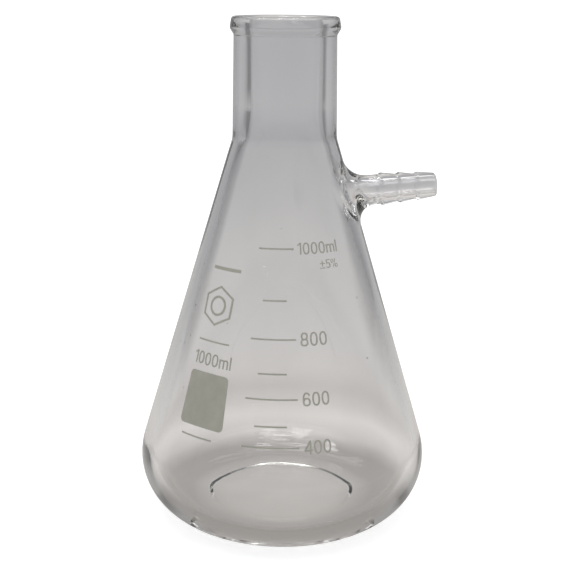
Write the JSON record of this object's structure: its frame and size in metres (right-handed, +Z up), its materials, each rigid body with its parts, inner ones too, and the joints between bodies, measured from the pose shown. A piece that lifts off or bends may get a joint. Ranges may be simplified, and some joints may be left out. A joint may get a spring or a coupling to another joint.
{
  "type": "filtering flask",
  "caption": "Conical heavy-wall laboratory filtering flask with a beaded mouth, a sealed-on barbed side arm and a printed volume scale.",
  "frame": {"origin": "centre of the base, on the plane that the flask stands on", "axes": "+Z up along the flask's axis, out of the mouth; +X along the side arm's direction seen from above; the scale faces -Y"},
  "size_m": [0.138, 0.135, 0.232],
  "materials": {
    "glass": "clear, fire polished",
    "enamel": "fired grey ceramic ink, matt"
  },
  "bodies": {
    "root": {"vessel": "glass", "rim_bead": "glass", "arm_seal": "glass", "side_arm": "glass", "marking_patch": "enamel", "capacity_label": "enamel", "tolerance_label": "enamel", "emblem": "enamel", "maker_rule": "enamel", "web_rule": "enamel", "glass_type_rule": "enamel", "graduation_400": "enamel", "graduation_500": "enamel", "graduation_600": "enamel", "graduation_700": "enamel", "graduation_800": "enamel", "graduation_900": "enamel", "graduation_1000": "enamel", "figures_400": "enamel", "figures_600": "enamel", "figures_800": "enamel", "figures_1000": "enamel"}
  },
  "joints": []
}
